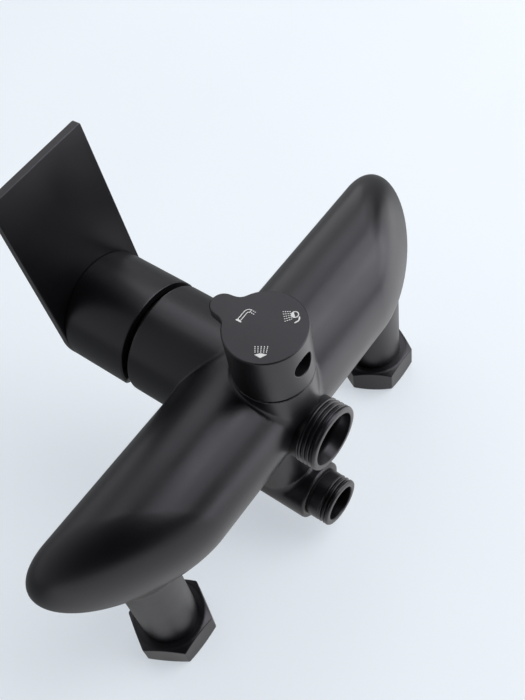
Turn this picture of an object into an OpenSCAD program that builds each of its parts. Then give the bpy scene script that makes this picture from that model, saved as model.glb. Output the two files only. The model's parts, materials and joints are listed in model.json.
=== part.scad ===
// Wall mounted bath and shower mixer: horizontal bar body, single lever on top, three-way
// diverter at the front, threaded outlets and two union nuts at the wall.
// Frame: +X along the bar, +Y towards the wall, +Z up. The wall unions end on the plane y = 0,
// and the origin lies midway between them. All sizes are millimetres.

/* [Bar body] */
// Distance between the two wall inlets
inlet_pitch = 150; // [148:1:152]
// Diameter of the horizontal bar
bar_d = 46.7; // [46:0.1:48]
// Distance of the bar's axis from the inlet plane
bar_depth = 81.5; // [80:0.5:84]
// Distance from the middle to the start of each swept end, at mid height
end_start = 72.6; // [70:0.1:76]
// Length of the rounded part of each swept end
end_round = 27.6; // [24:0.1:30]
// How far the swept end leans outward for each millimetre of height
end_lean = 0.946; // [0.8:0.002:1]
// Wall thickness of the bar casting
bar_wall = 3.8; // [3.4:0.1:4.4]
// Outer diameter of the two inlet legs
leg_d = 23.2; // [22.6:0.1:24]

/* [Lever housing] */
// Outer diameter of the lever housing
housing_d = 45.4; // [45:0.1:46]
// Height of the lever housing's rim above the bar axis
housing_top = 45.6; // [45:0.1:46]
// Distance of the lever axis from the inlet plane
lever_depth = 80.2; // [80:0.1:81]
// Chamfer on the rim of the lever housing
rim_chamfer = 1.2; // [0.6:0.1:1.6]

/* [Handle] */
// Diameter of the handle skirt
handle_d = 46; // [45.4:0.1:46.4]
// Height of the skirt's lower rim above the bar axis
skirt_bottom = 47.8; // [47.6:0.1:48.6]
// Height of the blade's underside on the lever axis
blade_height = 76.7; // [76:0.1:78]
// Length of the blade from the lever axis to its tip
blade_length = 77.7; // [70:0.1:82]
// Thickness of the blade
blade_thick = 3.6; // [3:0.1:4.2]
// Upward tilt of the blade in degrees
blade_tilt = 5; // [3:0.5:7]
// Height of the lever's tilting axis
pivot_height = 40; // [39.5:0.1:40.5]
// Angle of the relief cut at the back of the skirt
relief_angle = 24; // [23:1:27]

/* [Diverter] */
// Height of the diverter axis, below the bar axis
diverter_drop = 10.4; // [10:0.1:10.8]
// Diameter of the diverter knob
knob_d = 29.7; // [29.4:0.1:30.2]
// Distance of the knob's front face from the inlet plane
knob_front = 130.2; // [130:0.1:131]
// Distance of the seam under the knob from the inlet plane
knob_seam = 106.1; // [105.8:0.1:106.4]
// Radius of the round end of the knob's finger tab
tab_r = 4.7; // [4.4:0.1:5]
// Distance of the tab's centre from the knob axis
tab_reach = 17.6; // [17:0.1:18]
// Thickness of the finger tab
tab_thick = 3.6; // [3:0.1:4]
// Diameter of the plugged screw hole in the side of the knob
plug_hole_d = 9.2; // [9:0.1:9.4]

/* [Outlets] */
// Crest diameter of the spout outlet's pipe thread
spout_thread_d = 26.3; // [26.2:0.1:26.4]
// Crest diameter of the hose and riser threads
hose_thread_d = 20.85; // [20.7:0.05:20.95]
// Pitch of all pipe threads
pipe_pitch = 1.814; // [1.8:0.001:1.82]
// Depth of the end face of the spout outlet below the bar axis
spout_end = 33.7; // [33:0.1:34]
// Distance of the spout outlet's axis from the inlet plane
spout_depth = 75.8; // [75.6:0.1:76]
// Distance of the hose and riser axis from the inlet plane
rear_depth = 19.6; // [19.4:0.1:19.8]
// Outer diameter of the rear outlet boss
boss_d = 25.6; // [25:0.1:26]
// Half length of the rear outlet boss
boss_half = 22.5; // [22:0.1:23]
// Distance from the bar axis level to the end of the hose and riser nipples
nipple_end = 32.7; // [32:0.1:33]

/* [Wall unions] */
// Width across the flats of the union nuts
nut_af = 30; // [29.8:0.1:30.2]
// Height of the union nuts
nut_h = 13.5; // [13.4:0.1:13.6]
// Smallest diameter of the nut's internal thread
nut_thread_d = 24.12; // [24:0.02:24.2]

/* [Hidden] */
fine = 96;
mid = 64;
bar_r = bar_d / 2;
bar_y = -bar_depth;
lever_y = -lever_depth;
leg_x = inlet_pitch / 2;
leg_end = -nut_h - 0.5;
house_r = housing_d / 2;
handle_r = handle_d / 2;
knob_r = knob_d / 2;
knob_z = -diverter_drop;
spout_y = -spout_depth;
rear_y = -rear_depth;
boss_r = boss_d / 2;
spout_r = spout_thread_d / 2;
hose_r = hose_thread_d / 2;
nut_r = nut_thread_d / 2;
thread_h = 0.85;
run = 0.05;
cart_r = 17.6;
port_r = 2.6;
seat_top = 8;
collar_h = 2;
spout_bore = 9.65;
nipple_bore = 7.5;
plug_y = -119;
plug_seat = 8.6;
print_w = 0.28;

// A cylinder along x, y or z between two coordinates
module along_x(r, x0, x1, y = 0, z = 0) {
    translate([x0, y, z]) rotate([0, 90, 0]) cylinder(r = r, h = x1 - x0, $fn = fine);
}
module along_y(r, y0, y1, x = 0, z = 0) {
    translate([x, y0, z]) rotate([-90, 0, 0]) cylinder(r = r, h = y1 - y0, $fn = fine);
}
module along_z(r, z0, z1, x = 0, y = 0) {
    translate([x, y, z0]) cylinder(r = r, h = z1 - z0, $fn = fine);
}
// A solid turned about the y axis at x, z from a profile of [radius, y] points
module turned_y(profile, x = 0, z = 0) {
    translate([x, 0, z]) rotate([-90, 0, 0]) rotate_extrude($fn = fine) polygon(profile);
}
// A solid turned about the z axis from a profile of [radius, z] points
module turned_z(profile, x = 0, y = 0) {
    translate([x, y, 0]) rotate_extrude($fn = fine) polygon(profile);
}
// Points of an outside thread's crests and roots, from the low end to the high end
function ridges(r, low, count) = [for (i = [0:count - 1]) each [
    [r - thread_h, low + i * pipe_pitch],
    [r, low + (i + 0.34) * pipe_pitch],
    [r, low + (i + 0.66) * pipe_pitch],
    [r - thread_h, low + (i + 1) * pipe_pitch]]];

// One swept end: a round end that leans outward towards the top. It is a hair smaller than
// the bar, so that its inner half lies inside the bar.
module swept_end() {
    multmatrix([[end_round, 0, end_lean * bar_r, end_start],
            [0, bar_r, 0, bar_y],
            [0, 0, bar_r, 0],
            [0, 0, 0, 1]])
        rotate([0, 90, 0]) sphere(r = 0.999, $fn = fine);
}
// Everything beyond the slanted plane where a swept end starts
module beyond_end() {
    translate([0, bar_y + 40, 0]) rotate([90, 0, 0]) linear_extrude(80)
        polygon([[end_start - 40 * end_lean, -40], [170, -40], [170, 40],
            [end_start + 40 * end_lean, 40]]);
}
module bar_solid() {
    difference() {
        along_x(bar_r, -115, 115, bar_y, 0);
        beyond_end();
        mirror([1, 0, 0]) beyond_end();
    }
    swept_end();
    mirror([1, 0, 0]) swept_end();
}
// The spout outlet: flared neck, thread with its run-out ridge, plain end collar
module spout_outlet_solid() {
    low = -spout_end;
    first = low + collar_h;
    last = first + 3 * pipe_pitch;
    neck = spout_r - thread_h;
    profile = concat([[0, low], [spout_r - 0.8, low], [spout_r, low + 0.8],
        [spout_r, first - 0.4]],
        ridges(spout_r, first, 3),
        [[neck + 0.6, last + 0.34 * pipe_pitch], [neck + 0.6, last + 0.66 * pipe_pitch],
         [neck, last + pipe_pitch], [neck, -19.6], [13.4, -18.4], [15, -13], [15, -6], [0, -6]]);
    turned_z(profile, 0, spout_y);
}
module body_solid() {
    bar_solid();
    turned_z([[0, 0], [house_r, 0], [house_r, housing_top - rim_chamfer],
        [house_r - rim_chamfer, housing_top], [0, housing_top]], 0, lever_y);
    along_y(knob_r, -knob_seam, bar_y + 15, 0, knob_z);
    along_y(12.6, bar_y + 10, rear_y, 0, -4.8);
    turned_z([[0, -boss_half], [boss_r - 1.2, -boss_half], [boss_r, -boss_half + 1.2],
        [boss_r, boss_half - 1.2], [boss_r - 1.2, boss_half], [0, boss_half]], 0, rear_y);
    for (s = [-1, 1]) along_y(leg_d / 2, bar_y, leg_end, s * leg_x, 0);
    spout_outlet_solid();
}
// Water chambers in each half of the bar, and the bores of the inlet legs
module inlet_ways() {
    for (s = [0, 1]) mirror([s, 0, 0]) {
        along_x(bar_r - bar_wall, 21, 54, bar_y, 0);
        along_x(12, 53, 84, bar_y, 3);
        along_y(7, bar_y, leg_end - 15, leg_x, 0);
        along_y(9, leg_end - 16, leg_end + 1, leg_x, 0);
        along_x(port_r, 7.5, 24, lever_y + 5, 4.6);
        along_z(port_r, 4.6, seat_top + 1, 7.5, lever_y + 5);
    }
}
// Pocket of the mixing cartridge with the thread of its retaining nut
module cartridge_pocket() {
    along_z(cart_r + 0.1, seat_top, 37, 0, lever_y);
    along_z(19.45, 36, housing_top + 1, 0, lever_y);
    along_z(3.2, -6, seat_top + 1, 0, lever_y - 8);
}
// Diverter bore, the spout's waterway and the two ways to the rear boss
module outlet_ways() {
    along_y(11.5, -knob_seam - 1, -86.5, 0, knob_z);
    along_y(4.2, -87, spout_y, 0, knob_z - 6);
    along_z(spout_bore, -spout_end - 1, -15.2, 0, spout_y);
    turned_z([[0, -spout_end - 0.1], [spout_bore + 0.6, -spout_end - 0.1],
        [spout_bore, -spout_end + 0.5], [0, -spout_end + 0.5]], 0, spout_y);
    along_y(3.2, -87, rear_y, -5.2, knob_z + 3);
    along_y(3.2, -87, -33, 5.2, knob_z + 3);
    along_z(3.2, knob_z + 3, 1.5, 5.2, -33);
    along_y(3.2, -33, rear_y, 5.2, 1.5);
    along_z(nipple_bore, -boss_half - 1, -5.5, 0, rear_y);
    along_z(nipple_bore, -1, boss_half + 1, 0, rear_y);
    along_z(9.2, -boss_half - 1, -boss_half + 9, 0, rear_y);
    along_z(9.2, boss_half - 9, boss_half + 1, 0, rear_y);
}
module body_casting() {
    color([0.16, 0.16, 0.17]) difference() {
        body_solid();
        inlet_ways();
        cartridge_pocket();
        outlet_ways();
    }
}

// Screwed tail piece that carries the union nut on its flange
module inlet_tail(s) {
    color([0.72, 0.6, 0.34]) difference() {
        turned_y([[0, leg_end - 13], [8.6, leg_end - 13], [8.95, leg_end - 12.4],
            [8.95, leg_end], [10.2, leg_end], [10.2, -10.9], [11.9, -10.9], [11.9, -8.4],
            [0, -8.4]], s * leg_x, 0);
        along_y(6.6, leg_end - 14, -7, s * leg_x, 0);
        translate([s * leg_x, -14, 0]) rotate([-90, 0, 0]) cylinder(d = 15, h = 8, $fn = 6);
    }
}
module inlet_tail_left() { inlet_tail(-1); }
module inlet_tail_right() { inlet_tail(1); }

// Hexagon union nut with an inside pipe thread towards the wall
module union_nut(s) {
    hex_r = nut_af / sqrt(3);
    color([0.15, 0.15, 0.16]) difference() {
        intersection() {
            translate([s * leg_x, -nut_h, 0]) rotate([-90, 0, 0])
                cylinder(r = hex_r, h = nut_h, $fn = 6);
            turned_y([[0, -nut_h], [nut_af / 2 - 0.4, -nut_h], [hex_r + 0.4, -nut_h + 1.6],
                [hex_r + 0.4, -1.3], [nut_af / 2 - 0.2, 0], [0, 0]], s * leg_x, 0);
        }
        along_y(10.2 + run, -nut_h - 1, -10, s * leg_x, 0);
        turned_y(concat([[0, -11], [12.6, -11], [12.6, -6.4]],
            [for (i = [0:2]) each [
                [nut_r, -6.2 + i * pipe_pitch + 0.2],
                [nut_r, -6.2 + i * pipe_pitch + 0.8],
                [nut_r + thread_h, -6.2 + i * pipe_pitch + 1.3],
                [nut_r + thread_h, -6.2 + i * pipe_pitch + 1.5]]],
            [[nut_r, -0.9], [nut_r, -0.3], [nut_r + 0.8, 0.5], [0, 0.5]]), s * leg_x, 0);
    }
}
module union_nut_left() { union_nut(-1); }
module union_nut_right() { union_nut(1); }

module union_washer(s) {
    color([0.1, 0.1, 0.1]) turned_y([[8, -8.4], [11.8, -8.4], [11.8, -6.6], [8, -6.6]],
        s * leg_x, 0);
}
module union_washer_left() { union_washer(-1); }
module union_washer_right() { union_washer(1); }

// Domed strainer held in the washer's hole
module strainer(s) {
    color([0.75, 0.75, 0.77]) difference() {
        turned_y([[0, -11], [3.4, -10.4], [5.6, -8.6], [6.5, -8.4], [7.9, -8.4], [7.9, -6.9], [6.6, -6.9],
            [6.6, -7.7], [5.2, -7.9], [3, -9.7], [0, -10.2]], s * leg_x, 0);
        for (a = [0:60:300]) translate([s * leg_x, 0, 0]) rotate([0, a, 0])
            along_y(0.7, -12, -6, 3.9, 0);
    }
}
module strainer_left() { strainer(-1); }
module strainer_right() { strainer(1); }

// Screwed outlet nipple; dir is 1 for one that points up
module outlet_nipple(dir) {
    first = boss_half + 6.3;
    color([0.16, 0.16, 0.17]) mirror([0, 0, dir > 0 ? 0 : 1]) difference() {
        turned_z(concat([[0, boss_half - 7.5], [9.1, boss_half - 7.5], [9.1, boss_half + 0.3],
            [hose_r, boss_half + 0.3], [hose_r, first - 0.3]],
            ridges(hose_r, first, 1),
            [[hose_r, first + 1.34 * pipe_pitch],
             [hose_r, nipple_end - 0.8], [hose_r - 0.8, nipple_end], [0, nipple_end]]),
            0, rear_y);
        along_z(nipple_bore, boss_half - 9, nipple_end + 1, 0, rear_y);
        turned_z([[0, nipple_end + 0.1], [nipple_bore + 0.6, nipple_end + 0.1],
            [nipple_bore, nipple_end - 0.5], [0, nipple_end - 0.5]], 0, rear_y);
    }
}
module hose_nipple() { outlet_nipple(-1); }
module riser_nipple() { outlet_nipple(1); }

// Flat seal rings between the rear boss and the two nipples
module nipple_rings() {
    color([0.08, 0.08, 0.08]) for (s = [-1, 1])
        turned_z([[9.2, s * boss_half], [10.1, s * boss_half], [10.1, s * (boss_half + 0.3)],
            [9.2, s * (boss_half + 0.3)]], 0, rear_y);
}

// Plastic shell of the mixing cartridge
module cartridge_shell() {
    color([0.85, 0.85, 0.82]) turned_z([[15.2, 14], [cart_r, 14], [cart_r, 36], [14.2, 36],
        [14.2, 41], [11.5 + run, 41], [11.5 + run, 36], [15.2, 36]], 0, lever_y);
}
module port_holes(z0, z1) {
    for (x = [-7.5, 7.5]) along_z(port_r, z0, z1, x, lever_y + 5);
    along_z(3.2, z0, z1, 0, lever_y - 8);
}
module cartridge_base() {
    color([0.9, 0.9, 0.88]) difference() {
        along_z(17.4, seat_top, 14, 0, lever_y);
        port_holes(0, 20);
        for (x = [-7.5, 7.5]) along_z(4.6, seat_top - 1, seat_top + 1.4, x, lever_y + 5);
        along_z(5.2, seat_top - 1, seat_top + 1.4, 0, lever_y - 8);
    }
}
// Three rubber rings that seal the cartridge's ports on the casting
module cartridge_seals() {
    color([0.08, 0.08, 0.08]) {
        for (x = [-7.5, 7.5]) turned_z([[2.9, seat_top], [4.5, seat_top],
            [4.5, seat_top + 1.4], [2.9, seat_top + 1.4]], x, lever_y + 5);
        turned_z([[3.5, seat_top], [5.1, seat_top], [5.1, seat_top + 1.4],
            [3.5, seat_top + 1.4]], 0, lever_y - 8);
    }
}
module fixed_disc() {
    color([0.93, 0.93, 0.9]) difference() {
        along_z(15, 14, 18, 0, lever_y);
        port_holes(13, 19);
    }
}
// Sliding ceramic disc with its blind mixing recess
module moving_disc() {
    color([0.95, 0.95, 0.93]) difference() {
        along_z(12, 18, 21.5, 0, lever_y + 2.6);
        along_z(7.4, 17, 20, 0, lever_y - 1);
    }
}
// Plastic carrier that the stem's foot pushes
module disc_carrier() {
    color([0.35, 0.55, 0.75]) difference() {
        along_z(12, 21.5, 29, 0, lever_y + 2.6);
        along_z(3, 23, 30, 0, lever_y);
    }
}
// Turning part of the cartridge, slotted for the stem
module cartridge_rotor() {
    color([0.3, 0.5, 0.7]) difference() {
        turned_z([[0, 29.5], [14.8, 29.5], [14.8, 35.5], [11.5, 35.5], [11.5, 43.5],
            [0, 43.5]], 0, lever_y);
        translate([-4.3, lever_y - 9.5, 28]) cube([8.6, 17, 17]);
        along_x(1.5 + run, -9.1, 9.1, lever_y, pivot_height);
    }
}
module pivot_pin() {
    color([0.8, 0.8, 0.82]) along_x(1.5, -9, 9, lever_y, pivot_height);
}
// Metal stem: square end for the handle, round foot in the carrier
module lever_stem() {
    color([0.75, 0.75, 0.77]) difference() {
        union() {
            translate([-4, lever_y - 4, 35]) cube([8, 8, 31]);
            along_z(2, 26.5, 36, 0, lever_y);
            translate([0, lever_y, 26.6]) sphere(r = 2.8, $fn = mid);
        }
        along_x(1.5 + run, -6, 6, lever_y, pivot_height);
    }
}
// Brass nut that holds the cartridge down
module cartridge_nut() {
    color([0.78, 0.64, 0.32]) difference() {
        turned_z([[14.3, 36], [19.1, 36], [19.4, 36.4], [19.4, 41.6], [19.1, 42], [14.3, 42]],
            0, lever_y);
        for (a = [0:90:270]) translate([0, lever_y, 0]) rotate([0, 0, a])
            translate([13, -2, 40]) cube([4, 4, 3]);
    }
}
// Black dome under the handle, seen as the dark ring in the gap
module bonnet() {
    color([0.05, 0.05, 0.05]) turned_z([[14.4, 42], [19.2, 42], [19.2, 46.6], [18.4, 48.2],
        [16.8, 49.6], [14.6, 50.3], [12.6, 50.3], [12.6, 47.6], [14.4, 47.6]], 0, lever_y);
}

// Plane of the blade's underside: everything above it
module above_underside() {
    translate([0, lever_y, blade_height]) rotate([-blade_tilt, 0, 0])
        translate([-60, -120, 0]) cube([120, 200, 60]);
}
module handle_skirt() {
    back = lever_y + 3;
    color([0.17, 0.17, 0.18]) difference() {
        union() {
            difference() {
                turned_z([[0, skirt_bottom], [handle_r - 0.4, skirt_bottom],
                    [handle_r, skirt_bottom + 0.4], [handle_r, 90], [0, 90]], 0, lever_y);
                along_z(19.9, skirt_bottom - 1, 71, 0, lever_y);
            }
            along_z(8.5, 56, 72, 0, lever_y);
        }
        above_underside();
        translate([-4.05, lever_y - 4.05, 50]) cube([8.1, 8.1, 16.5]);
        translate([-30, back, skirt_bottom]) rotate([relief_angle, 0, 0])
            translate([0, 0, -30]) cube([60, 60, 30]);
        along_y(2.5, lever_y, lever_y + 12, 0, 63);
        along_y(3.2, lever_y + 15, lever_y + 30, 0, 63);
    }
}
// Flat blade with a round back end that covers the skirt
module lever_blade() {
    color([0.16, 0.16, 0.17]) translate([0, lever_y, blade_height])
        rotate([-blade_tilt, 0, 0]) linear_extrude(blade_thick) {
            circle(r = handle_r, $fn = fine);
            difference() {
                translate([-handle_r, -blade_length]) square([2 * handle_r, blade_length]);
                for (s = [-1, 1]) translate([s * (handle_r - 1), -blade_length + 1])
                    difference() {
                        translate([s > 0 ? 0 : -2, -2]) square([2, 2]);
                        circle(r = 1, $fn = 32);
                    }
            }
        }
}
module handle_screw() {
    color([0.6, 0.6, 0.62]) difference() {
        along_y(2.5, lever_y + 4.05, lever_y + 12, 0, 63);
        translate([0, lever_y + 9.5, 63]) rotate([-90, 0, 0]) cylinder(r = 1.4, h = 4, $fn = 6);
    }
}
module handle_plug() {
    color([0.12, 0.12, 0.13]) along_y(3.2, lever_y + 19.6, lever_y + 22.3, 0, 63);
}

// Diverter valve: brass bonnet screwed into the front bore
module diverter_bonnet() {
    color([0.76, 0.62, 0.33]) turned_y([[4 + run, -112], [10.2, -112], [10.2, -106.4],
        [11.4, -106.4], [11.4, -97.2], [4 + run, -97.2]], 0, knob_z);
}
module diverter_stem() {
    color([0.74, 0.74, 0.76]) difference() {
        along_y(4, -125, -97.1, 0, knob_z);
        translate([-5, plug_y - 2.6, knob_z - 6]) cube([10, 5.2, 2.7]);
    }
}
module diverter_moving_disc() {
    color([0.94, 0.94, 0.92]) difference() {
        along_y(10.5, -97.1, -93.5, 0, knob_z);
        along_y(3.4, -96, -93, 0, knob_z - 6);
    }
}
// The three ports, 120 degrees apart round the diverter's axis
module diverter_ports(y0, y1, r) {
    for (a = [0, 120, 240]) translate([0, 0, knob_z]) rotate([0, a, 0])
        along_y(r, y0, y1, 0, -6);
}
module diverter_fixed_disc() {
    color([0.92, 0.92, 0.9]) difference() {
        along_y(11.3, -93.5, -89.5, 0, knob_z);
        diverter_ports(-94, -89, 3.2);
    }
}
module diverter_seat() {
    color([0.2, 0.2, 0.22]) difference() {
        along_y(11.3, -89.5, -86.5, 0, knob_z);
        diverter_ports(-90, -86, 3.2);
    }
}
module diverter_ring() {
    color([0.08, 0.08, 0.08]) turned_y([[11.4, -106.4], [13.2, -106.4], [13.2, -106.1],
        [11.4, -106.1]], 0, knob_z);
}

// Outline of the knob's front plate: disc, finger tab and its two hollow fillets
module knob_outline() {
    fillet = 4;
    cy = ((knob_r + fillet) * (knob_r + fillet) - (tab_r + fillet) * (tab_r + fillet)
        + tab_reach * tab_reach) / (2 * tab_reach);
    cx = sqrt((knob_r + fillet) * (knob_r + fillet) - cy * cy);
    circle(r = knob_r, $fn = fine);
    translate([0, tab_reach]) circle(r = tab_r, $fn = mid);
    difference() {
        polygon([[0, 0], [cx, cy], [0, tab_reach], [-cx, cy]]);
        for (s = [-1, 1]) translate([s * cx, cy]) circle(r = fillet, $fn = mid);
    }
}
module diverter_knob() {
    back = -knob_seam - 0.4;
    color([0.19, 0.19, 0.2]) difference() {
        union() {
            along_y(knob_r, -knob_front, back, 0, knob_z);
            translate([0, -knob_front + tab_thick, knob_z]) rotate([90, 0, 0])
                linear_extrude(tab_thick) knob_outline();
        }
        along_y(12.6, -113.8, back + 1, 0, knob_z);
        along_y(4, -125, -113, 0, knob_z);
        along_z(plug_hole_d / 2, knob_z - 20, knob_z - plug_seat, 0, plug_y);
        along_z(2, knob_z - plug_seat - 1, knob_z, 0, plug_y);
    }
}
// Pictograms on the knob's face: wall spout above, hand shower right, rain shower left
// The inner edge of a flat shape
module outlined() {
    difference() {
        children();
        offset(delta = -print_w) children();
    }
}
// Rows of short dashes between two edges, each edge given by its two ends
module spray(near, far, rows, count) {
    flow = far[0] + far[1] - near[0] - near[1];
    for (j = [0:rows - 1]) for (i = [0:count - 1]) {
        across = i / (count - 1);
        a = near[0] + (near[1] - near[0]) * across;
        b = far[0] + (far[1] - far[0]) * across;
        translate(a + (b - a) * j / (rows - 1)) rotate(atan2(flow[1], flow[0]))
            square([0.46, 0.28], center = true);
    }
}
module spout_sign() {
    translate([-2.95, 7.8]) square([0.5, 2.2]);
    outlined() union() {
        translate([-2.5, 8.25]) square([3.7, 1.4]);
        translate([1.2, 7.6]) intersection() {
            difference() {
                circle(r = 2.05, $fn = mid);
                circle(r = 0.65, $fn = mid);
            }
            square(3);
        }
    }
    spray([[2.1, 7], [3, 7]], [[2.1, 6.2], [3, 6.2]], 2, 2);
}
module hand_shower_sign() {
    translate([9.1, -5.7]) {
        difference() {
            circle(r = 1.35, $fn = mid);
            circle(r = 1, $fn = mid);
        }
        intersection() {
            circle(r = 1.2, $fn = mid);
            rotate(137) translate([0.2, -2]) square([2, 4]);
        }
    }
    translate([7.75, -6.3]) intersection() {
        difference() {
            circle(r = 2, $fn = mid);
            circle(r = 1.5, $fn = mid);
        }
        translate([-1.6, -3]) square([3.2, 1.9]);
    }
    spray([[9.2, -3.6], [7, -5.8]], [[8, -1.7], [5.2, -4.5]], 4, 5);
}
module rain_shower_sign() {
    polygon([[-10.75, -3.5], [-9.2, -4.95], [-8.5, -7.1], [-10.75, -5.95]]);
    spray([[-9.75, -3.15], [-7.8, -6.35]], [[-8.1, -1.9], [-5.95, -5.45]], 4, 5);
}
module knob_marks() {
    color([0.95, 0.95, 0.95]) translate([0, -knob_front, knob_z]) rotate([90, 0, 0])
        linear_extrude(0.12) {
            spout_sign();
            hand_shower_sign();
            rain_shower_sign();
        }
}
module knob_screw() {
    color([0.6, 0.6, 0.62]) difference() {
        along_z(2, knob_z - plug_seat + 0.4, knob_z - 3.4, 0, plug_y);
        translate([0, plug_y, knob_z - plug_seat]) cylinder(r = 1.1, h = 2.6, $fn = 6);
    }
}
module knob_plug() {
    color([0.3, 0.3, 0.31]) along_z(plug_hole_d / 2, knob_z - plug_seat - 2, knob_z - plug_seat, 0, plug_y);
}

body_casting();
inlet_tail_left();
inlet_tail_right();
union_nut_left();
union_nut_right();
union_washer_left();
union_washer_right();
strainer_left();
strainer_right();
hose_nipple();
riser_nipple();
nipple_rings();
cartridge_shell();
cartridge_base();
cartridge_seals();
fixed_disc();
moving_disc();
disc_carrier();
cartridge_rotor();
pivot_pin();
lever_stem();
cartridge_nut();
bonnet();
handle_skirt();
lever_blade();
handle_screw();
handle_plug();
diverter_bonnet();
diverter_stem();
diverter_moving_disc();
diverter_fixed_disc();
diverter_seat();
diverter_ring();
diverter_knob();
knob_marks();
knob_screw();
knob_plug();
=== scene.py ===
"""Looks of the wall mounted bath and shower mixer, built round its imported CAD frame.

Shapes are worked out in millimetres in the CAD frame: X along the bar, Y towards the wall, Z up.
Most castings are the zero surface of a distance field, so that every join has a real fillet.
"""

import json
import math

import bmesh
import bpy
import numpy as np
import openvdb
from mathutils import Matrix, Vector


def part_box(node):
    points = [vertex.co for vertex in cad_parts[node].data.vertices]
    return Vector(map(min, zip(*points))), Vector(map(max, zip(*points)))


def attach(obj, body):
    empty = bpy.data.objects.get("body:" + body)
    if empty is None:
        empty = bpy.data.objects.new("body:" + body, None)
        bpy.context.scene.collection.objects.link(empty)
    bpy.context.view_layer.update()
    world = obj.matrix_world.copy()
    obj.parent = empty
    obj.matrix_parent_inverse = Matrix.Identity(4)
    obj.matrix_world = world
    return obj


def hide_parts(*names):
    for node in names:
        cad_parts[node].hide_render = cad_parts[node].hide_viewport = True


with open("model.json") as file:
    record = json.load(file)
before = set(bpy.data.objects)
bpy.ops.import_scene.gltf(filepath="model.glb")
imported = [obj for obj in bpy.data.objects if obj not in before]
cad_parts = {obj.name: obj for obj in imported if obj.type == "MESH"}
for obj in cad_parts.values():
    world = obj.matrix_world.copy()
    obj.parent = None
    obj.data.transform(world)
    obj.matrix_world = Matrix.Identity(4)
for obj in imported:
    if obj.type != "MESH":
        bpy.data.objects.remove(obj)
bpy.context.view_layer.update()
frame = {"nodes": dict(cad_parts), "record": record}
MM = 0.001
X, Y, Z = 0, 1, 2

# ---- Sizes read from the frame, in millimetres ---------------------------------------------------


def span(node, axis):
    """Lowest and highest coordinate of a CAD node along one axis, in millimetres."""
    low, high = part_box(node)
    return low[axis] / MM, high[axis] / MM


def middle(node, axis):
    low, high = span(node, axis)
    return (low + high) / 2


MOUNTS = {m["name"]: m for m in frame["record"]["mounts"]}
BAR_END = span("body_casting", X)[1]
HOUSING_TOP = span("body_casting", Z)[1]
SPOUT_END = span("body_casting", Z)[0]
KNOB_SEAM = span("body_casting", Y)[0]
LEG_END = span("body_casting", Y)[1]
LEVER_Y = middle("cartridge_nut", Y)
KNOB_Z = middle("diverter_ring", Z)
KNOB_FRONT, KNOB_BACK = span("diverter_knob", Y)
KNOB_R = span("diverter_knob", X)[1]
SKIRT_R = span("handle_skirt", X)[1]
SKIRT_BOTTOM = span("handle_skirt", Z)[0]
LEG_X = middle("union_nut_right", X)
NUT_START, NUT_END = span("union_nut_right", Y)
NUT_FLAT = span("union_nut_right", Z)[1]
SPOUT_Y = MOUNTS["spout_outlet"]["pos_m"][Y] / MM
SPOUT_R = MOUNTS["spout_outlet"]["dims"]["r_mm"]
REAR_Y = MOUNTS["hose_outlet"]["pos_m"][Y] / MM
HOSE_R = MOUNTS["hose_outlet"]["dims"]["r_mm"]
NIPPLE_END = span("riser_nipple", Z)[1]
UNION_R = MOUNTS["inlet_right"]["dims"]["r_mm"]

# ---- Driving sizes of the castings, in millimetres -------------------------------------------------
BAR_R = 23.35
BAR_Y = -81.5
END_START = 72.6
END_LEAN = 0.946
END_ROUND = math.sqrt((BAR_END - END_START) ** 2 - (END_LEAN * BAR_R) ** 2)
HOUSING_R = 22.7
LEG_R = 11.6
TUBE_R = 12.6
TUBE_Z = -4.8
BOSS_R = 12.8
BOSS_HALF = 22.5
PITCH = 1.814
THREAD_DEPTH = 1.16
SPOUT_BORE = 9.65
NIPPLE_BORE = 7.5
KNOB_CAVITY_R, KNOB_CAVITY_FLOOR = 12.6, -113.8
STEM_R, STEM_TIP = 4, -125
DIVERTER_BACK = BAR_Y + 5
NECK_END = -22.2
NECK_R = SPOUT_R - 0.35
GROOVE_AT = 30.5
TILT = math.radians(5)
BLADE_Z = 76.7
BLADE_LENGTH = 77.7
BLADE_THICK = 3.6
RELIEF = math.radians(24)

# Spacing of the distance field's samples: fine where the shape is small, coarse on the body
BODY_STEP, NUT_STEP, CUP_STEP, KNOB_STEP = 0.9, 0.35, 0.4, 0.3

# ---- Distance fields: negative inside, in millimetres ------------------------------------------------


def meet(a, b, edge=0.0):
    """What is inside both fields, with the edge where they cross rounded to that radius."""
    corner = np.hypot(np.maximum(a + edge, 0), np.maximum(b + edge, 0))
    return np.minimum(np.maximum(a, b), -edge) + corner


def join(a, b, fillet=0.0):
    """What is inside either field, with a fillet of that radius where they cross."""
    hollow = np.hypot(np.maximum(fillet - a, 0), np.maximum(fillet - b, 0))
    return np.maximum(np.minimum(a, b), fillet) - hollow


def cut(a, b, edge=0.0):
    """What is inside a and outside b."""
    return meet(a, -b, edge)


def rod(p, axis, radius, low, high, at=(0.0, 0.0, 0.0), edge=0.0):
    """A cylinder along one axis from low to high, its axis through the point at."""
    u, v = [i for i in (X, Y, Z) if i != axis]
    around = np.hypot(p[u] - at[u], p[v] - at[v]) - radius
    along = np.maximum(low - p[axis], p[axis] - high)
    return meet(around, along, edge)


def swept_bar(p):
    """The bar with its two swept ends: half ellipsoids that lean outward towards the top."""
    past = np.maximum(np.abs(p[X]) - END_START - END_LEAN * p[Z], 0) * (BAR_R / END_ROUND) ** 2
    y = p[Y] - BAR_Y
    reach = np.sqrt(past * past * (END_ROUND / BAR_R) ** 2 + y * y + p[Z] ** 2) + 1e-9
    slope = np.sqrt(past * past + y * y + (p[Z] - past * END_LEAN) ** 2) / reach
    return (reach - BAR_R) / np.maximum(slope, 0.3)


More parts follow.
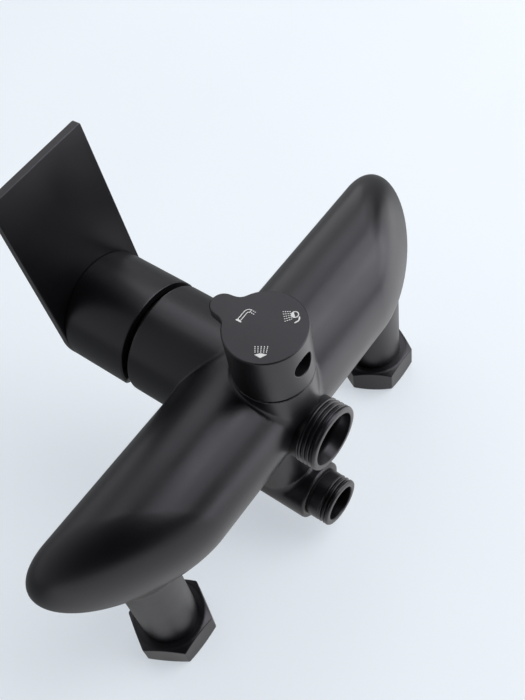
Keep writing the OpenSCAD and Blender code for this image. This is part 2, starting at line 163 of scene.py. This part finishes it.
def helix(p, axis, at, turn=1.0):
    """How far through its thread groove each point is, from 0 to 1, for a pipe thread."""
    u, v = [i for i in (X, Y, Z) if i != axis]
    angle = np.arctan2(p[v] - at[v], p[u] - at[u]) / math.tau
    return np.mod(p[axis] / PITCH + turn * angle, 1.0)


def ridge(phase):
    """Height of a thread's ridge, from 0 at its root to 1 at its crest, with both rounded."""
    return 0.5 - 0.5 * np.cos(math.tau * phase)


def casting(p):
    lever = (0, LEVER_Y, 0)
    body = swept_bar(p)
    body = join(body, rod(p, Z, HOUSING_R, 0, HOUSING_TOP, lever, 1.0), 0.8)
    body = join(body, rod(p, Y, TUBE_R, BAR_Y + 8, REAR_Y, (0, 0, TUBE_Z)), 2.0)
    boss = rod(p, Z, BOSS_R, -BOSS_HALF, BOSS_HALF, (0, REAR_Y, 0), 1.2)
    body = join(body, boss, 1.6)
    for side in (-LEG_X, LEG_X):
        body = join(body, rod(p, Y, LEG_R, BAR_Y, LEG_END, (side, 0, 0), 0.8), 2.0)
    front = rod(p, Y, KNOB_R, KNOB_SEAM, DIVERTER_BACK, (0, 0, KNOB_Z), 0.4)
    body = join(body, front, 1.5)
    body = join(body, rod(p, Z, NECK_R, NECK_END, 0, (0, SPOUT_Y, 0), 0.3), 0.7)
    return hollowed(p, body)


def hollowed(p, body):
    """Takes the cartridge pocket, the diverter bore and the ends of the waterways out of the casting."""
    lever = (0, LEVER_Y, 0)
    knob = (0, 0, KNOB_Z)
    rear = (0, REAR_Y, 0)
    holes = [
        rod(p, Z, 17.7, 8, 38, lever),
        rod(p, Z, 19.45, 36, HOUSING_TOP + 5, lever),
        rod(p, Y, 11.5, KNOB_SEAM - 5, -86.5, knob),
        rod(p, Z, SPOUT_BORE, SPOUT_END - 5, -15.2, (0, SPOUT_Y, 0)),
        rod(p, Z, 9.2, -BOSS_HALF - 5, -BOSS_HALF + 9, rear),
        rod(p, Z, NIPPLE_BORE, -BOSS_HALF, -5.5, rear),
        rod(p, Z, 9.2, BOSS_HALF - 9, BOSS_HALF + 5, rear),
        rod(p, Z, NIPPLE_BORE, -1, BOSS_HALF, rear)]
    for side in (-LEG_X, LEG_X):
        holes.append(rod(p, Y, 9.0, LEG_END - 16, LEG_END + 5, (side, 0, 0)))
        holes.append(rod(p, Y, 7.0, BAR_Y, LEG_END - 10, (side, 0, 0)))
    for hole in holes:
        body = cut(body, hole)
    return body


def underside(p):
    """Height above the slanted plane of the blade's underside."""
    return (p[Z] - BLADE_Z) * math.cos(TILT) + (p[Y] - LEVER_Y) * math.sin(TILT)


def skirt(p):
    lever = (0, LEVER_Y, 0)
    cup = meet(rod(p, Z, SKIRT_R, SKIRT_BOTTOM, 99, lever, 0.5), underside(p), 0.4)
    cup = cut(cup, rod(p, Z, 19.9, SKIRT_BOTTOM - 9, 71, lever), 0.3)
    cup = join(cup, meet(rod(p, Z, 8.5, 56, 90, lever), underside(p)), 0.8)
    socket = meet(np.maximum(np.abs(p[X]), np.abs(p[Y] - LEVER_Y)) - 4.05, p[Z] - 66.5)
    cup = cut(cup, socket)
    lift = (p[Z] - SKIRT_BOTTOM) * math.cos(RELIEF) - (p[Y] - LEVER_Y - 3) * math.sin(RELIEF)
    cup = cut(cup, lift, 0.5)
    cup = cut(cup, rod(p, Y, 2.5, LEVER_Y, LEVER_Y + 12, (0, 0, 63)))
    return cut(cup, rod(p, Y, 3.2, LEVER_Y + 15, LEVER_Y + 30, (0, 0, 63)))


def knob(p):
    axis = (0, 0, KNOB_Z)
    tab_r, tab_reach, tab_thick = 4.7, 17.6, 3.6
    disc = np.hypot(p[X], p[Z] - KNOB_Z) - KNOB_R
    tab = np.hypot(p[X], p[Z] - KNOB_Z - tab_reach) - tab_r
    plate = meet(join(disc, tab, 4.0), np.maximum(KNOB_FRONT - p[Y], p[Y] - KNOB_FRONT - tab_thick), 0.5)
    body = join(rod(p, Y, KNOB_R, KNOB_FRONT, KNOB_BACK, axis, 0.5), plate)
    body = cut(body, rod(p, Y, KNOB_CAVITY_R, KNOB_CAVITY_FLOOR, KNOB_BACK + 5, axis), 0.3)
    body = cut(body, rod(p, Y, STEM_R, STEM_TIP, KNOB_CAVITY_FLOOR + 1.8, axis))
    plug = (0, middle("knob_plug", Y), 0)
    hole_r, seat = span("knob_plug", X)[1], span("knob_plug", Z)[1]
    body = cut(body, rod(p, Z, hole_r, KNOB_Z - 20, seat, plug), 0.35)
    return cut(body, rod(p, Z, 2, seat - 1, KNOB_Z, plug))


def union_nut(p, side):
    at = (side, 0, 0)
    x, z = p[X] - side, p[Z]
    hexagon = np.abs(z) - NUT_FLAT
    for turn in (60, -60):
        across = x * math.sin(math.radians(turn)) + z * math.cos(math.radians(turn))
        hexagon = meet(hexagon, np.abs(across) - NUT_FLAT, 0.4)
    nut = meet(hexagon, np.maximum(NUT_START - p[Y], p[Y] - NUT_END), 0.3)
    radius = np.hypot(x, z)
    for end, corner in ((NUT_START, NUT_FLAT - 0.6), (NUT_END, NUT_FLAT - 0.4)):
        inward = (radius - corner) * math.sin(math.radians(30))
        nut = meet(nut, inward - np.abs(p[Y] - end) * math.cos(math.radians(30)), 0.3)
    nut = cut(nut, rod(p, Y, 10.25, NUT_START - 5, -9, at), 0.3)
    thread = UNION_R + THREAD_DEPTH * ridge(helix(p, Y, at))
    inside = np.maximum(radius - thread, -11 - p[Y])
    nut = cut(nut, inside)
    nut = cut(nut, rod(p, Y, 12.6, -11, -6.4, at))
    mouth = (radius - UNION_R - 1.0) * 0.7 - (p[Y] - NUT_END) * 0.7
    return cut(nut, np.maximum(mouth, -3 - p[Y]))


# ---- Meshes ---------------------------------------------------------------------------------------


def surfaced(name, field, box, voxel):
    """A closed mesh of field's zero surface inside box, with its points and normals moved onto it."""
    low = np.array([c[0] for c in box]) - 2.5 * voxel
    high = np.array([c[1] for c in box]) + 2.5 * voxel
    steps = [np.arange(low[i], high[i] + voxel, voxel) for i in (X, Y, Z)]
    p = np.meshgrid(*steps, indexing="ij", sparse=True)
    values = np.broadcast_to(field(p), [len(s) for s in steps])
    grid = openvdb.FloatGrid(9.0)
    grid.copyFromArray(np.ascontiguousarray(values, np.float32))
    points, _, quads = grid.convertToPolygons(isovalue=0.0, adaptivity=0.0)
    points = points.astype(float) * voxel + low
    for _ in range(4):
        distance, normal = measured(field, points)
        points -= normal * np.clip(distance, -0.5 * voxel, 0.5 * voxel)[:, None]
    _, normal = measured(field, points)
    mesh = bpy.data.meshes.new(name)
    corners = points[quads]
    facing = np.cross(corners[:, 2] - corners[:, 0], corners[:, 3] - corners[:, 1])
    if (facing * normal[quads[:, 0]]).sum() < 0:
        quads = quads[:, ::-1]
    mesh.from_pydata((points * MM).tolist(), [], quads.tolist())
    mesh.shade_smooth()
    mesh.normals_split_custom_set_from_vertices(normal.tolist())
    return placed(name, mesh)


def measured(field, points, eps=0.02):
    """The field's distance at each point and its unit gradient there."""
    distance = field(points.T)
    slope = np.empty_like(points)
    for axis in (X, Y, Z):
        ahead, behind = points.copy(), points.copy()
        ahead[:, axis] += eps
        behind[:, axis] -= eps
        slope[:, axis] = (field(ahead.T) - field(behind.T)) / (2 * eps)
    size = np.linalg.norm(slope, axis=1) + 1e-9
    return distance / size, slope / size[:, None]


def placed(name, mesh):
    obj = bpy.data.objects.new(name, mesh)
    bpy.context.scene.collection.objects.link(obj)
    return obj


def ring_of(section, segments, depth):
    """Points of a closed section turned about Z; depth(height, angle) lowers its threads."""
    points = np.empty((len(section), segments, 3))
    angle = np.arange(segments) * math.tau / segments
    for i, (radius, height) in enumerate(section):
        r = radius - depth(height, angle)
        points[i] = np.stack([r * np.cos(angle), r * np.sin(angle), np.full(segments, height)], 1)
    return points


def tube(name, section, at, up, depth, segments=144):
    """A closed section turned about a vertical axis through at; up is -1 for one that points down."""
    points = ring_of(section, segments, depth)
    rows = len(section)
    index = np.arange(rows * segments).reshape(rows, segments)
    below, beside = np.roll(index, -1, 0), np.roll(index, -1, 1)
    quads = np.stack([index, beside, np.roll(below, -1, 1), below], -1).reshape(-1, 4)
    points = points.reshape(-1, 3) * (1, up, up) + at
    mesh = bpy.data.meshes.new(name)
    mesh.from_pydata((points * MM).tolist(), [], quads.tolist())
    mesh.shade_smooth()
    obj = placed(name, mesh)
    outward(obj)
    obj.modifiers.new("even_shading", "WEIGHTED_NORMAL").weight = 80
    return obj


def outward(obj):
    work = bmesh.new()
    work.from_mesh(obj.data)
    bmesh.ops.recalc_face_normals(work, faces=work.faces)
    work.to_mesh(obj.data)
    work.free()


def threaded(low, high):
    """The depth of a pipe thread's groove between two heights, running out at both. It holds for
    every point of the section between them, so a bore's points there move inward too."""
    def depth(height, angle):
        if not low <= height <= high:
            return 0.0 * angle
        turned = height - PITCH * angle / math.tau - GROOVE_AT
        groove = (1 - ridge(np.mod(turned / PITCH, 1.0))) ** 1.3
        start = np.clip((turned + GROOVE_AT + PITCH - low) / PITCH - 0.5, 0, 1)
        end = np.clip((high - height) / 0.4, 0, 1)
        return THREAD_DEPTH * groove * start * end
    return depth


def dense(low, high, radius, step=PITCH / 9):
    """Section points up a straight stretch, close enough together to carry a thread."""
    count = max(2, round((high - low) / step))
    return [(radius, low + (high - low) * k / count) for k in range(count + 1)]


def spout_thread():
    """The spout outlet: thread from the casting's neck to a plain, rounded end collar."""
    end, start = -SPOUT_END, -NECK_END
    low, high = start + 3.4, end - 1.3
    outside = [(NECK_R, start - 0.6), (NECK_R, low - 0.1)]
    outside += dense(low, high, SPOUT_R)
    lip = [(SPOUT_R, end - 0.8), (SPOUT_R - 0.25, end - 0.25), (SPOUT_R - 0.8, end)]
    mouth = SPOUT_BORE + 1.1
    bore = [(mouth + 0.25, end), (mouth + 0.1, end - 0.1), (mouth, end - 0.4), (mouth, end - 4),
            (SPOUT_BORE, end - 5.1), (SPOUT_BORE, start - 0.6)]
    return tube("spout_outlet_thread", outside + lip + bore, (0, SPOUT_Y, 0), -1,
                threaded(low, high))


def nipple(name, up):
    """A hose or riser nipple: shoulder, plain barrel, two turns of thread and a rounded lip."""
    foot, shoulder = BOSS_HALF - 7.5, BOSS_HALF + 0.3
    low, high = NIPPLE_END - 5.2, NIPPLE_END - 1.2
    outside = [(NIPPLE_BORE, foot), (9.1, foot), (9.1, shoulder), (HOSE_R - 0.3, shoulder),
               (HOSE_R, shoulder + 0.3)]
    outside += dense(low, high, HOSE_R)
    lip = [(HOSE_R, NIPPLE_END - 0.8), (HOSE_R - 0.25, NIPPLE_END - 0.25), (HOSE_R - 0.8, NIPPLE_END),
           (NIPPLE_BORE + 0.6, NIPPLE_END), (NIPPLE_BORE + 0.4, NIPPLE_END - 0.1),
           (NIPPLE_BORE, NIPPLE_END - 0.5)]
    return tube(name, outside + lip, (0, REAR_Y, 0), up, threaded(low, high))


def blade():
    """The flat lever: round at the back over the skirt, square at the tip, all edges broken."""
    work = bmesh.new()
    outline = []
    arc = 64
    for k in range(arc + 1):
        a = math.pi * k / arc
        outline.append((SKIRT_R * math.cos(a), SKIRT_R * math.sin(a)))
    tip_r = 1.0
    for side, turn in ((-1, math.pi), (1, 1.5 * math.pi)):
        centre = (side * (SKIRT_R - tip_r), -BLADE_LENGTH + tip_r)
        for k in range(7):
            a = turn + math.pi / 2 * k / 6
            outline.append((centre[0] + tip_r * math.cos(a), centre[1] + tip_r * math.sin(a)))
    face = work.faces.new([work.verts.new((x, y, 0)) for x, y in outline])
    top = bmesh.ops.extrude_face_region(work, geom=[face])
    moved = [v for v in top["geom"] if isinstance(v, bmesh.types.BMVert)]
    bmesh.ops.translate(work, verts=moved, vec=(0, 0, BLADE_THICK))
    bmesh.ops.recalc_face_normals(work, faces=work.faces)
    rim = [e for e in work.edges if any(len(f.verts) > 4 for f in e.link_faces)]
    bmesh.ops.bevel(work, geom=rim, offset=0.4, segments=4, profile=0.5, affect="EDGES")
    place = Matrix.Translation((0, LEVER_Y, BLADE_Z)) @ Matrix.Rotation(-TILT, 4, "X")
    work.transform(Matrix.Scale(MM, 4) @ place)
    mesh = bpy.data.meshes.new("lever_blade_plate")
    work.to_mesh(mesh)
    work.free()
    mesh.shade_smooth()
    obj = placed("lever_blade_plate", mesh)
    obj.modifiers.new("even_shading", "WEIGHTED_NORMAL").weight = 100
    return obj


# ---- Materials ---------------------------------------------------------------------------------------


class Nodes:
    """A small helper that adds nodes to one material and links them by name."""

    def __init__(self, name):
        self.material = bpy.data.materials.new(name)
        self.material.use_nodes = True
        self.tree = self.material.node_tree
        self.shader = self.tree.nodes["Principled BSDF"]
        self.place = self.add("ShaderNodeTexCoord").outputs["Object"]

    def add(self, kind, **values):
        node = self.tree.nodes.new(kind)
        for key, value in values.items():
            setattr(node, key, value)
        return node

    def link(self, source, target):
        self.tree.links.new(source, target)

    def noise(self, scale, detail=2.0, stretch=None):
        node = self.add("ShaderNodeTexNoise")
        node.inputs["Scale"].default_value = scale
        node.inputs["Detail"].default_value = detail
        place = self.place
        if stretch:
            mapping = self.add("ShaderNodeMapping")
            mapping.inputs["Scale"].default_value = stretch
            self.link(place, mapping.inputs["Vector"])
            place = mapping.outputs["Vector"]
        self.link(place, node.inputs["Vector"])
        return node.outputs["Fac"]

    def ranged(self, value, low, high, start=0.3, end=0.7):
        node = self.add("ShaderNodeMapRange")
        for key, number in (("From Min", start), ("From Max", end), ("To Min", low), ("To Max", high)):
            node.inputs[key].default_value = number
        self.link(value, node.inputs["Value"])
        return node.outputs["Result"]

    def mixed(self, factor, first, second):
        node = self.add("ShaderNodeMix", data_type="RGBA")
        node.inputs["A"].default_value = (*first, 1)
        node.inputs["B"].default_value = (*second, 1)
        self.link(factor, node.inputs["Factor"])
        return node.outputs["Result"]

    def bump(self, height, distance, strength=1.0, under=None):
        node = self.add("ShaderNodeBump")
        node.inputs["Distance"].default_value = distance
        node.inputs["Strength"].default_value = strength
        self.link(height, node.inputs["Height"])
        if under:
            self.link(under, node.inputs["Normal"])
        return node.outputs["Normal"]


def coated(name, dark, light, roughness, peel=0.000012, grain=0.000004):
    """A satin black powder coating: faint orange peel, fine grain, and cloudy gloss."""
    n = Nodes(name)
    cloud = n.noise(55, 3)
    n.link(n.mixed(n.ranged(n.noise(1800, 2), 0, 1), dark, light), n.shader.inputs["Base Color"])
    n.link(n.ranged(cloud, roughness - 0.03, roughness + 0.04), n.shader.inputs["Roughness"])
    skin = n.bump(n.noise(650, 1), peel)
    n.link(n.bump(n.noise(5200, 2), grain, under=skin), n.shader.inputs["Normal"])
    n.shader.inputs["Specular IOR Level"].default_value = 0.5
    n.shader.inputs["Specular Tint"].default_value = (0.91, 0.9, 1, 1)
    return n.material


def metal(name, colour, tint, roughness, stretch):
    """Turned or drawn metal: fine lines along one direction and a slight change of tone."""
    n = Nodes(name)
    lines = n.noise(900, 3, stretch)
    n.link(n.mixed(n.ranged(n.noise(160, 2), 0, 1), colour, tint), n.shader.inputs["Base Color"])
    n.link(n.ranged(lines, roughness - 0.06, roughness + 0.08), n.shader.inputs["Roughness"])
    n.link(n.bump(lines, 0.00001), n.shader.inputs["Normal"])
    n.shader.inputs["Metallic"].default_value = 1.0
    return n.material


def moulded(name, colour, tint, roughness, scale=1400, depth=0.00001):
    """Moulded plastic, rubber, print or fired ceramic: mottled colour and a fine skin."""
    n = Nodes(name)
    n.link(n.mixed(n.ranged(n.noise(scale / 4, 3), 0, 1), colour, tint), n.shader.inputs["Base Color"])
    n.link(n.ranged(n.noise(scale / 8, 2), roughness - 0.05, roughness + 0.05), n.shader.inputs["Roughness"])
    n.link(n.bump(n.noise(scale, 2), depth), n.shader.inputs["Normal"])
    return n.material


FINISHES = {
    "black_coating": coated("satin_black", (0.0025, 0.0025, 0.003), (0.004, 0.004, 0.005), 0.33),
    "black_knob": coated("satin_black_knob", (0.003, 0.003, 0.0035), (0.005, 0.005, 0.006), 0.36),
    "brass": metal("turned_brass", (0.56, 0.40, 0.17), (0.66, 0.50, 0.24), 0.26, (1, 14, 1)),
    "stainless_steel": metal("turned_steel", (0.50, 0.50, 0.52), (0.62, 0.62, 0.63), 0.28, (1, 1, 12)),
    "seal_rubber": moulded("seal_rubber", (0.012, 0.012, 0.013), (0.02, 0.02, 0.021), 0.72),
    "ceramic": moulded("lapped_ceramic", (0.80, 0.79, 0.74), (0.86, 0.85, 0.81), 0.18, 2600, 0.000003),
    "white_plastic": moulded("white_plastic", (0.72, 0.72, 0.69), (0.78, 0.78, 0.75), 0.42),
    "blue_plastic": moulded("blue_plastic", (0.07, 0.17, 0.36), (0.09, 0.21, 0.43), 0.40),
    "black_plastic": moulded("black_plastic", (0.008, 0.008, 0.009), (0.012, 0.012, 0.013), 0.5),
    "grey_plastic": moulded("grey_plastic", (0.028, 0.028, 0.031), (0.04, 0.04, 0.043), 0.46),
    "white_print": moulded("white_print", (0.66, 0.67, 0.68), (0.76, 0.77, 0.78), 0.55, 5200, 0.000004),
}
SLOTS = {row["node"]: row["material_slot"] for row in frame["record"]["subparts"]}


def finished(obj, slot):
    obj.data.materials.clear()
    obj.data.materials.append(FINISHES[slot])
    return obj


def stand_for(obj, node, body):
    """obj is shown in place of a CAD node, in the finish of that node's slot."""
    finished(obj, SLOTS[node])
    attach(obj, body)
    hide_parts(node)


# ---- The object ----------------------------------------------------------------------------------------
for node, obj in frame["nodes"].items():
    finished(obj, SLOTS[node])


def box_of(*nodes):
    """The box of some CAD nodes as (low, high) for each axis, in millimetres."""
    return [(min(span(n, a)[0] for n in nodes), max(span(n, a)[1] for n in nodes)) for a in (X, Y, Z)]


casting_box = box_of("body_casting")
casting_box[Z] = (NECK_END, HOUSING_TOP)
stand_for(surfaced("mixer_body", casting, casting_box, BODY_STEP), "body_casting", "fixed_body")
stand_for(spout_thread(), "body_casting", "fixed_body")
stand_for(nipple("hose_outlet_nipple", -1), "hose_nipple", "fixed_body")
stand_for(nipple("riser_outlet_nipple", 1), "riser_nipple", "fixed_body")
for side, word in ((-1, "left"), (1, "right")):
    node = "union_nut_" + word
    nut = surfaced("hexagon_nut_" + word, lambda p, s=side: union_nut(p, s * LEG_X), box_of(node), NUT_STEP)
    stand_for(nut, node, word + "_nut")
stand_for(surfaced("handle_cup", skirt, box_of("handle_skirt"), CUP_STEP), "handle_skirt", "lever_lift")
stand_for(blade(), "lever_blade", "lever_lift")
knob_shell = surfaced("diverter_knob_shell", knob, box_of("diverter_knob"), KNOB_STEP)
stand_for(knob_shell, "diverter_knob", "diverter")

# ---- Stage, lights and camera ----------------------------------------------------------------------------


def floor_glow(n):
    """How bright the surface is in reflections: brighter below the mixer, most so to the right."""
    parts = n.add("ShaderNodeSeparateXYZ")
    n.link(n.add("ShaderNodeNewGeometry").outputs["Position"], parts.inputs["Vector"])

    def rise(axis, start, end, low, high):
        step = n.add("ShaderNodeMapRange", interpolation_type="SMOOTHSTEP")
        for key, number in (("From Min", start), ("From Max", end), ("To Min", low), ("To Max", high)):
            step.inputs[key].default_value = number
        n.link(parts.outputs[axis], step.inputs["Value"])
        return step.outputs["Result"]

    def maths(kind, a, b):
        node = n.add("ShaderNodeMath", operation=kind)
        n.link(a, node.inputs[0])
        n.link(b, node.inputs[1])
        return node.outputs["Value"]

    near = rise("Z", -0.07, 0.05, GLOW_BELOW, GLOW_ABOVE)
    far = maths("MULTIPLY", rise("Z", -0.22, 0.02, GLOW_FAR, 0), rise("X", 0, 0.1, 0, 1))
    return maths("ADD", near, far)


def wall():
    """The pale surface that the mixer lies against. The camera sees it lit up, so that its shadows
    stay faint; all other light meets a dimmer one. It shows only from the front."""
    work = bmesh.new()
    bmesh.ops.create_grid(work, x_segments=2, y_segments=2, size=3.0)
    work.transform(Matrix.Translation((0, 0.0002, 0)) @ Matrix.Rotation(math.pi / 2, 4, "X"))
    mesh = bpy.data.meshes.new("stage_surface")
    work.to_mesh(mesh)
    work.free()
    n = Nodes("pale_surface")
    seen = n.add("ShaderNodeLightPath").outputs["Is Camera Ray"]
    n.shader.inputs["Roughness"].default_value = 0.9
    n.shader.inputs["Specular IOR Level"].default_value = 0.0
    paper = n.mixed(n.ranged(n.noise(9, 2), 0, 1), (0.41, 0.43, 0.45), (0.425, 0.445, 0.465))
    shade = n.add("ShaderNodeMix", data_type="RGBA")
    shade.inputs["A"].default_value = (0.215, 0.225, 0.235, 1)
    n.link(paper, shade.inputs["B"])
    n.link(seen, shade.inputs["Factor"])
    n.link(shade.outputs["Result"], n.shader.inputs["Base Color"])
    glow = n.add("ShaderNodeMix", data_type="RGBA")
    glow.inputs["B"].default_value = (*PALE, 1)
    n.link(seen, glow.inputs["Factor"])
    n.link(floor_glow(n), glow.inputs["A"])
    n.link(glow.outputs["Result"], n.shader.inputs["Emission Color"])
    n.shader.inputs["Emission Strength"].default_value = 1
    clear = n.add("ShaderNodeBsdfTransparent")
    choose = n.add("ShaderNodeMixShader")
    n.link(n.add("ShaderNodeNewGeometry").outputs["Backfacing"], choose.inputs["Fac"])
    n.link(n.shader.outputs["BSDF"], choose.inputs[1])
    n.link(clear.outputs["BSDF"], choose.inputs[2])
    n.link(choose.outputs["Shader"], n.tree.nodes["Material Output"].inputs["Surface"])
    mesh.materials.append(n.material)
    placed("stage_surface", mesh)


def softbox(name, towards, radiance):
    """A round soft box, seen from the mixer in that direction and as bright as its radiance."""
    data = bpy.data.lights.new(name, "AREA")
    data.shape = "DISK"
    data.size = BOX_SIZE
    data.energy = radiance * (math.pi * BOX_SIZE / 2) ** 2
    obj = bpy.data.objects.new(name, data)
    bpy.context.scene.collection.objects.link(obj)
    way = Vector(towards).normalized()
    obj.location = CENTRE + way * BOX_DISTANCE
    obj.rotation_euler = (-way).to_track_quat("-Z", "Y").to_euler()


def studio():
    """Pale all round for the camera. All other light meets a room that is dark on the
    photographer's side and brighter on the other."""
    world = bpy.data.worlds.new("studio")
    world.use_nodes = True
    tree = world.node_tree
    background = tree.nodes["Background"]

    def add(kind, **values):
        node = tree.nodes.new(kind)
        for key, value in values.items():
            setattr(node, key, value)
        return node

    facing = add("ShaderNodeVectorMath", operation="DOT_PRODUCT")
    facing.inputs[1].default_value = Vector(BRIGHT_SIDE).normalized()
    tree.links.new(add("ShaderNodeTexCoord").outputs["Generated"], facing.inputs[0])
    level = add("ShaderNodeMapRange", interpolation_type="SMOOTHSTEP")
    for key, number in (("From Min", -0.8), ("From Max", 0.8), ("To Min", DIM), ("To Max", BRIGHT)):
        level.inputs[key].default_value = number
    tree.links.new(facing.outputs["Value"], level.inputs["Value"])
    choose = add("ShaderNodeMix", data_type="RGBA")
    choose.inputs["B"].default_value = (0.87, 0.92, 0.965, 1)
    tree.links.new(level.outputs["Result"], choose.inputs["A"])
    tree.links.new(add("ShaderNodeLightPath").outputs["Is Camera Ray"], choose.inputs["Factor"])
    tree.links.new(choose.outputs["Result"], background.inputs["Color"])
    bpy.context.scene.world = world


PALE = (0.465, 0.5, 0.54)
GLOW_ABOVE, GLOW_BELOW, GLOW_FAR = 0.1, 0.85, 1.6
BRIGHT_SIDE = (-0.09, 0.48, 0.87)
DIM, BRIGHT = 0.02, 0.7
CENTRE = Vector((0, -0.08, 0))
BOX_DISTANCE = 1.4
BOX_SIZE = 0.95
wall()
studio()
softbox("key", (0.47, -0.83, -0.30), 3.2)
softbox("key_above", (0.64, -0.73, 0.23), 1.0)
softbox("key_below", (0.31, -0.67, -0.67), 1.3)
softbox("side_below", (0.64, -0.42, -0.64), 2.6)
softbox("side", (0.89, -0.17, -0.41), 1.8)
softbox("below", (0.54, -0.02, -0.84), 1.0)
softbox("above", (0.48, -0.23, 0.84), 0.65)
softbox("front", (0.38, -0.81, 0.44), 1.1)

CAMERA_AT = Vector((-0.1319, -0.3966, -0.1470))
CAMERA_AIM = Vector((-0.0009, -0.1154, -0.0078))
CAMERA_ROLL = math.radians(-61.3)
camera = bpy.data.cameras.new("camera")
camera.lens = 51.43
camera.sensor_width = 36
camera.clip_start = 0.01
eye = bpy.data.objects.new("camera", camera)
bpy.context.scene.collection.objects.link(eye)
turn = (CAMERA_AIM - CAMERA_AT).to_track_quat("-Z", "Y").to_matrix().to_4x4()
eye.matrix_world = Matrix.Translation(CAMERA_AT) @ turn @ Matrix.Rotation(CAMERA_ROLL, 4, "Z")
bpy.context.scene.camera = eye
bpy.context.scene.view_settings.view_transform = "Standard"
